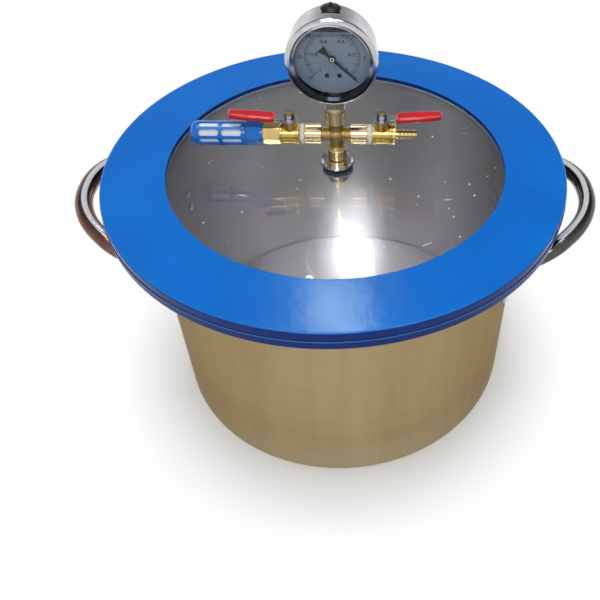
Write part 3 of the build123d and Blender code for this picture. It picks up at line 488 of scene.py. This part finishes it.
def bezel_finish():
    """Polished bezel: a slope with painted dark reflection towards the bottom, a painted white
    highlight atop the lip.
    """
    made, tree, surface, place = material("bezel_steel")
    x, _, z = split(tree, place)
    height = minus(tree, z, gauge_z)
    reach = reach_of(tree, x, height)
    slope = fall(tree, reach, bezel_outer - 1.9 * mm, bezel_outer - 1.4 * mm)
    low = fall(tree, height, -10 * mm, 6 * mm)
    lip = fall(tree, reach, 25.7 * mm, 26.0 * mm)
    # painted highlight: the lip's top is painted white and less metallic
    painted_highlight_lip = times(tree, lip, ramp(tree, height, 2 * mm, 12 * mm))

    patches = use(tree, mottle, Vector=place, Scale=90.0)
    bright = blend(tree, patches, colour(186, 186, 190), colour(214, 214, 218))
    bright = blend(tree, painted_highlight_lip, bright, colour(250, 250, 250))
    # painted reflection: the slope is painted near black towards the bottom
    dark = blend(tree, patches, colour(30, 32, 36), colour(48, 50, 56))
    tree.links.new(blend(tree, times(tree, slope, low), bright, dark), surface.inputs["Base Color"])
    surface.inputs["Roughness"].default_value = 0.12
    tree.links.new(vary(tree, painted_highlight_lip, 1.0, 0.35), surface.inputs["Metallic"])
    return made


def dial_finish():
    """Painted dial, in painted shade above the line of the glycerine that fills the case, with a
    painted highlight on that line.
    """
    made, tree, surface, place = material("dial_face")
    z = split(tree, place)[2]
    # painted shade: a slightly darker band in the last 3 mm below the fill line
    painted_shade_band = ramp(tree, z, fill_line - 3.2 * mm, fill_line - 2.9 * mm)
    # painted shade: above the fill line the dial is painted dark
    painted_shade_above_fill = ramp(tree, z, fill_line, fill_line + 1.5 * mm)
    # painted highlight: a pale line along the fill line
    line = times(tree, ramp(tree, z, fill_line - 0.5 * mm, fill_line - 0.3 * mm),
                 fall(tree, z, fill_line, fill_line + 0.2 * mm))

    patches = use(tree, mottle, Vector=place, Scale=60.0)
    paint = blend(tree, patches, colour(108, 115, 128), colour(120, 127, 140))
    paint = blend(tree, painted_shade_band, paint, colour(100, 104, 118))
    paint = blend(tree, painted_shade_above_fill, paint, colour(26, 30, 34))
    paint = blend(tree, line, paint, colour(150, 154, 168))
    tree.links.new(paint, surface.inputs["Base Color"])
    surface.inputs["Roughness"].default_value = 0.55
    return made


def pointer_finish():
    """Black needle with a bright ring on its hub."""
    made, tree, surface, place = material("pointer_black")
    x, y, z = split(tree, place)
    reach = reach_of(tree, x, minus(tree, z, gauge_z))
    ring = times(tree, fall(tree, reach, 1.45 * mm, 1.6 * mm),
                 ramp(tree, reach, 0.75 * mm, 0.9 * mm))
    front = fall(tree, y, hub_front + 0.2 * mm, hub_front + 0.4 * mm)
    patches = use(tree, mottle, Vector=place, Scale=200.0)
    black = blend(tree, patches, colour(8, 8, 10), colour(16, 16, 18))
    tree.links.new(blend(tree, times(tree, ring, front), black, colour(196, 196, 186)),
                   surface.inputs["Base Color"])
    surface.inputs["Roughness"].default_value = 0.45
    return made


# ---------------------------------------------------------------- finishes given to the nodes
finishes = {
    "pot_steel": pot_finish(),
    "handle_steel": handle_finish(),
    "fastener_steel": metal(
        "fastener_steel", colour(180, 180, 184), colour(214, 214, 218), 0.2, 0.05, 200.0),
    "blue_rubber": ring_finish(),
    "lid_glass": clear("lid_glass", colour(246, 250, 250), 0.03, 130.0, 0.03, 1.55),
    "machined_brass": metal(
        "machined_brass", colour(196, 168, 104), colour(230, 206, 148), 0.15, 0.04, 120.0,
        across=(2500, 200, 200)),
    "valve_brass": metal(
        "valve_brass", colour(170, 140, 62), colour(214, 186, 108), 0.24, 0.06, 240.0,
        depth=0.06 * mm),
    "cast_brass": cross_finish(),
    "dull_brass": metal(
        "dull_brass", colour(112, 106, 86), colour(150, 142, 120), 0.34, 0.06, 200.0),
    "black_rubber": moulding(
        "black_rubber", colour(10, 10, 11), colour(20, 20, 22), 0.36, 0.08, 200.0,
        depth=0.03 * mm, gloss=0.3),
    "chrome": metal("chrome", colour(196, 196, 200), colour(222, 222, 226), 0.10, 0.03, 90.0),
    "zinc_plate": metal(
        "zinc_plate", colour(168, 168, 174), colour(204, 204, 210), 0.22, 0.06, 200.0),
    "thread_tape": moulding(
        "thread_tape", colour(234, 236, 238), colour(254, 254, 252), 0.5, 0.08, 300.0,
        depth=0.3 * mm),
    "white_seal": moulding(
        "white_seal", colour(226, 226, 222), colour(242, 242, 238), 0.5, 0.05, 200.0),
    "red_vinyl": moulding(
        "red_vinyl", colour(200, 0, 10), colour(220, 6, 18), 0.2, 0.04, 100.0,
        coat=0.7, gloss=0.3),
    "blue_plastic": moulding(
        "blue_plastic", colour(0, 102, 194), colour(0, 124, 220), 0.14, 0.03, 80.0,
        coat=0.2, gloss=0.3),
    "porous_white": moulding(
        "porous_white", colour(236, 240, 246), colour(254, 254, 254), 0.8, 0.1, 700.0,
        depth=0.3 * mm),
    "gauge_steel": metal(
        "gauge_steel", colour(170, 172, 176), colour(206, 208, 212), 0.14, 0.04, 90.0),
    "gauge_window": clear("gauge_window", colour(244, 250, 252), 0.0, 300.0, 0.02, 1.18),
    "dial_face": dial_finish(),
    "pointer_black": pointer_finish(),
}
for piece in nodes.values():
    for slot in piece.material_slots:
        slot.material = finishes[slot.material.name.split(".")[0]]


def refinish(finish, *names):
    """Gives single nodes a finish of their own."""
    for name in names:
        for slot in nodes[name].material_slots:
            slot.material = finish


refinish(moulding("grey_seal", colour(96, 108, 128), colour(128, 142, 162), 0.35, 0.05, 200.0),
         "lid_seal_bottom")
refinish(metal("foot_steel", colour(158, 156, 156), colour(196, 194, 194), 0.16, 0.04, 120.0),
         *[name for name in nodes if name.startswith("handle_foot")])
refinish(bezel_finish(), "gauge_bezel")
refinish(metal("nut_steel", colour(96, 92, 86), colour(150, 146, 138), 0.26, 0.05, 300.0),
         "lever_nut_left", "lever_nut_right")
refinish(metal("blackened_steel", colour(52, 52, 56), colour(92, 92, 98), 0.3, 0.06, 400.0),
         "dial_screws")
refinish(threaded("threaded_brass"), "bulkhead_nipple")
dial_ink = moulding("dial_ink", colour(10, 10, 14), colour(22, 22, 28), 0.5, 0.05, 400.0)
water = moulding("dried_water", colour(226, 232, 238), colour(250, 252, 254), 0.18, 0.05, 500.0,
                 coat=0.5)


# ---------------------------------------------------------------- modelling helpers
def deselect():
    bpy.ops.object.select_all(action="DESELECT")


def pick(piece):
    """Selects one piece alone and makes it the active one."""
    deselect()
    piece.select_set(True)
    bpy.context.view_layer.objects.active = piece


def settle(piece):
    """Puts a finished piece's place, turn and scale into its mesh."""
    pick(piece)
    bpy.ops.object.transform_apply(location=True, rotation=True, scale=True)
    return piece


def join(pieces, name):
    """Makes many pieces one, under the given name."""
    deselect()
    for piece in pieces:
        piece.select_set(True)
    bpy.context.view_layer.objects.active = pieces[0]
    bpy.ops.object.join()
    pieces[0].name = name
    return settle(pieces[0])


def finish_piece(piece, finish, body="root"):
    """Gives a new piece its finish and the body that it rides."""
    piece.data.materials.clear()
    piece.data.materials.append(finish)
    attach(piece, body)


# ---------------------------------------------------------------- dial print
scale_start, scale_sweep = -45.0, 270.0    # degrees, as the print lies flat before it is stood up
main_radius, outer_radius = 18.0 * mm, 18.3 * mm
ink_thickness = 0.02 * mm
main_numbers = ("0", "-0.2", "-0.4", "-0.6", "-0.8", "-1")
outer_steps = 6


def tick(inner, outer, width):
    """One printed line, lying along a radius."""
    deselect()
    bpy.ops.mesh.primitive_plane_add(size=1.0)
    made = bpy.context.object
    made.dimensions = (outer - inner, width, 0)
    made.location = ((inner + outer) / 2, 0, 0)
    return settle(made)


def ring_of_ticks(inner, outer, width, count, skip=None):
    """Lines round the scale, without every so many where skip is given."""
    model = tick(inner, outer, width)
    copies = []
    for step in range(count + 1):
        if skip and step % skip == 0:
            continue
        made = model.copy()
        made.data = model.data.copy()
        made.rotation_euler = (0, 0, math.radians(scale_start + scale_sweep * step / count))
        bpy.context.collection.objects.link(made)
        copies.append(made)
    bpy.data.objects.remove(model)
    return copies


def number(text, radius, angle, size):
    """A plain number with its middle at a radius and angle on the dial."""
    deselect()
    bpy.ops.object.text_add()
    made = bpy.context.object
    made.data.body = text
    made.data.size = size
    made.data.offset = size * 0.02
    made.data.align_x = "CENTER"
    made.data.align_y = "CENTER"
    made.data.resolution_u = 3
    bpy.ops.object.convert(target="MESH")
    turn = math.radians(angle)
    made.location = (radius * math.cos(turn), radius * math.sin(turn), 0)
    return made


def arc_line(radius, width):
    """The line along the main scale, open at the bottom of the dial."""
    gap_start, gap_end = -134, -46
    deselect()
    bpy.ops.mesh.primitive_circle_add(vertices=120, radius=radius, fill_type="NOTHING")
    made = bpy.context.object
    bpy.ops.object.mode_set(mode="EDIT")
    bpy.ops.mesh.select_all(action="DESELECT")
    bpy.ops.object.mode_set(mode="OBJECT")
    for vertex in made.data.vertices:
        angle = math.degrees(math.atan2(vertex.co.y, vertex.co.x))
        vertex.select = gap_start < angle < gap_end
    bpy.ops.object.mode_set(mode="EDIT")
    bpy.ops.mesh.delete(type="VERT")
    bpy.ops.mesh.select_all(action="SELECT")
    bpy.ops.mesh.extrude_region_move()
    bpy.ops.transform.resize(value=((radius + width) / radius,) * 3, center_override=(0, 0, 0))
    bpy.ops.object.mode_set(mode="OBJECT")
    return made


marks = ring_of_ticks(15.0 * mm, main_radius, 0.56 * mm, 10)
marks += ring_of_ticks(15.9 * mm, main_radius, 0.36 * mm, 50, skip=5)
marks += ring_of_ticks(outer_radius, 19.3 * mm, 0.40 * mm, outer_steps)
marks += ring_of_ticks(outer_radius, 19.0 * mm, 0.22 * mm, 30, skip=5)
marks.append(arc_line(main_radius, 0.26 * mm))
last_number = len(main_numbers) - 1
for step, text in enumerate(main_numbers):
    reach = 12.4 * mm if 0 < step < last_number else 12.8 * mm
    marks.append(number(text, reach, scale_start + scale_sweep / last_number * step, 3.6 * mm))
for step in range(outer_steps + 1):
    angle = scale_start + scale_sweep / outer_steps * step
    marks.append(number(str(5 * step), 21.2 * mm, angle, 3.3 * mm))
dial_print = join(marks, "dial_print")
dial_print.rotation_euler = (math.radians(90), 0, 0)
dial_print.location = (0, dial_low[1] - 0.05 * mm, gauge_z)
settle(dial_print)
thick = dial_print.modifiers.new("ink", "SOLIDIFY")
thick.thickness = ink_thickness
bpy.ops.object.modifier_apply(modifier=thick.name)
finish_piece(dial_print, dial_ink)


# ---------------------------------------------------------------- thread tape
def tape_wrap(node, seed):
    """A few uneven turns of tape bunched round a thread, standing for the plain ring."""
    hole = 5.2 * mm
    low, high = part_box(node)
    middle = [(a + b) / 2 for a, b in zip(low, high)]
    outer = (high[2] - low[2]) / 2
    deselect()
    bpy.ops.mesh.primitive_torus_add(
        major_radius=(outer + hole) / 2, minor_radius=(outer - hole) / 2,
        major_segments=56, minor_segments=14, location=middle, rotation=(0, math.radians(90), 0))
    made = bpy.context.object
    made.scale = (1, 1, (high[0] - low[0]) / (outer - hole) * 0.96)
    bpy.ops.object.transform_apply(location=False, rotation=False, scale=True)
    bpy.ops.object.mode_set(mode="EDIT")
    bpy.ops.mesh.select_all(action="SELECT")
    bpy.ops.transform.vertex_random(offset=0.8 * mm, uniform=0.2, normal=0.6, seed=seed)
    bpy.ops.object.mode_set(mode="OBJECT")
    made.name = node.replace("thread_tape", "tape_wrap")
    settle(made)
    smooth = made.modifiers.new("soft", "SUBSURF")
    smooth.levels = smooth.render_levels = 1
    bpy.ops.object.modifier_apply(modifier=smooth.name)
    bpy.ops.object.shade_smooth()
    finish_piece(made, finishes["thread_tape"])
    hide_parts(node)


tape_wrap("thread_tape_left", 3)
tape_wrap("thread_tape_right", 8)

# ---------------------------------------------------------------- drops left on the lid
drop_count, drop_field = 64, 118 * mm
run_every = 9    # each ninth drop has run out into a streak
random.seed(11)
drops = []
for step in range(drop_count):
    streak = step % run_every == 0
    deselect()
    bpy.ops.mesh.primitive_uv_sphere_add(segments=12, ring_count=8, radius=1.0)
    drop = bpy.context.object
    size = random.uniform(0.25, 0.8) * mm
    reach = math.sqrt(random.uniform(0.05, 1.0)) * drop_field
    turn = random.uniform(0, 2 * math.pi)
    stretch = random.uniform(4, 9) if streak else random.uniform(0.8, 1.3)
    drop.scale = (size * stretch, size * (0.5 if streak else 1.0), size * 0.45)
    drop.rotation_euler = (0, 0, random.uniform(-0.3, 0.5))
    drop.location = (reach * math.cos(turn), reach * math.sin(turn), lid_top)
    drops.append(drop)
lid_drops = join(drops, "lid_drops")
bpy.ops.object.shade_smooth()
finish_piece(lid_drops, water)


# ---------------------------------------------------------------- floor
def seen_or_mirrored(tree, path):
    """1 for what is seen by the camera, or in a polished face, or through glass."""
    bent = larger(tree, path.outputs["Is Glossy Ray"], path.outputs["Is Transmission Ray"])
    return larger(tree, path.outputs["Is Camera Ray"], bent)


deselect()
bpy.ops.mesh.primitive_plane_add(size=12.0)
floor = bpy.context.object
floor.name = "floor"
paper, tree, surface, place = material("floor_paper")
patches = use(tree, mottle, Vector=place, Scale=3.0)
tree.links.new(blend(tree, patches, colour(252, 252, 252), colour(255, 255, 255)),
               surface.inputs["Base Color"])
surface.inputs["Roughness"].default_value = 1.0
surface.inputs["Specular IOR Level"].default_value = 0.0
seen = seen_or_mirrored(tree, tree.nodes.new("ShaderNodeLightPath"))
glow = add(tree, "ShaderNodeEmission", Strength=1.0)
x, y, _ = split(tree, place)
# the paper's own shade shows close to the pot, and plain white farther out
whiteness = spread(tree, reach_of(tree, x, y), 143 * mm, 200 * mm, 0.2, 0.94)
mix = tree.nodes.new("ShaderNodeMixShader")
tree.links.new(times(tree, seen, whiteness), mix.inputs[0])
tree.links.new(surface.outputs[0], mix.inputs[1])
tree.links.new(glow.outputs[0], mix.inputs[2])
tree.links.new(mix.outputs[0], tree.nodes["Material Output"].inputs["Surface"])
floor.data.materials.append(paper)

# ---------------------------------------------------------------- camera
stand = Vector((30.22, -444.77, 530.60)) * mm
bearing, down, lean = math.radians(-2.517), math.radians(45.769), math.radians(1.93)
ahead = Vector((-math.sin(bearing) * math.cos(down), math.cos(bearing) * math.cos(down),
                -math.sin(down)))
level = Vector((math.cos(bearing), math.sin(bearing), 0))
above = level.cross(ahead)
right = math.cos(lean) * level + math.sin(lean) * above
top = math.cos(lean) * above - math.sin(lean) * level
camera = bpy.data.objects.new("camera", bpy.data.cameras.new("camera"))
bpy.context.scene.collection.objects.link(camera)
camera.matrix_world = (Matrix.Translation(stand)
                       @ Matrix((right, top, -ahead)).transposed().to_4x4())
camera.data.sensor_width = 36.0
camera.data.lens = 43.533
camera.data.shift_x = -0.1667
camera.data.shift_y = -0.025
camera.data.clip_start = 0.01
bpy.context.scene.camera = camera

# ---------------------------------------------------------------- light
# plain soft light on the object; polished faces and glass see a white horizon that darkens
# overhead, less behind the camera than ahead of it; the camera itself sees white
world = bpy.data.worlds.new("studio")
bpy.context.scene.world = world
world.use_nodes = True
tree = world.node_tree
tree.nodes.clear()
output = tree.nodes.new("ShaderNodeOutputWorld")
path = tree.nodes.new("ShaderNodeLightPath")
soft = add(tree, "ShaderNodeBackground", Strength=0.42)
mirrored = add(tree, "ShaderNodeBackground", Strength=1.0)
white = add(tree, "ShaderNodeBackground", Color=(1, 1, 1, 1), Strength=1.0)
way_x, way_y, way_z = split(tree, tree.nodes.new("ShaderNodeTexCoord").outputs["Generated"])
beyond = blend(tree, ramp(tree, way_x, -0.5, 0.45), (0.28, 0.28, 0.29, 1), (0.12, 0.12, 0.13, 1))
ceiling = blend(tree, ramp(tree, way_y, -0.35, 0.4), (0.74, 0.74, 0.76, 1), beyond)
tree.links.new(blend(tree, ramp(tree, way_z, 0.16, 0.5), (1, 1, 1, 1), ceiling),
               mirrored.inputs[0])
mix = tree.nodes.new("ShaderNodeMixShader")
tree.links.new(seen_or_mirrored(tree, path), mix.inputs[0])
tree.links.new(soft.outputs[0], mix.inputs[1])
tree.links.new(mirrored.outputs[0], mix.inputs[2])
top_mix = tree.nodes.new("ShaderNodeMixShader")
tree.links.new(path.outputs["Is Camera Ray"], top_mix.inputs[0])
tree.links.new(mix.outputs[0], top_mix.inputs[1])
tree.links.new(white.outputs[0], top_mix.inputs[2])
tree.links.new(top_mix.outputs[0], output.inputs[0])


def softbox(name, place, target, width, height, strength, tint=(1, 1, 1)):
    """A rectangular lamp whose face has the given brightness, where 1 is white."""
    data = bpy.data.lights.new(name, "AREA")
    data.shape = "RECTANGLE"
    data.size, data.size_y = width, height
    data.energy = strength * math.pi * width * height
    data.color = tint
    lamp = bpy.data.objects.new(name, data)
    bpy.context.scene.collection.objects.link(lamp)
    lamp.rotation_euler = (Vector(target) - Vector(place)).to_track_quat("-Z", "Y").to_euler()
    lamp.location = place


middle = (0, 0, 0.15)
softbox("overhead", (0.0, 0.1, 3.4), middle, 2.3, 2.3, 1.8)
softbox("strip", (0.0, 0.1, 3.2), middle, 1.7, 0.11, 22.0)
softbox("window_ahead", (-0.11, 1.17, 1.70), (-0.014, -0.148, 0.207), 0.18, 0.30, 14.0,
        tint=(0.8, 1.0, 0.80))
softbox("window_behind", (-0.15, -1.6, 1.60), (0.0, 0.0, 0.1), 0.70, 0.55, 9.0)

bpy.context.scene.view_settings.view_transform = "Standard"
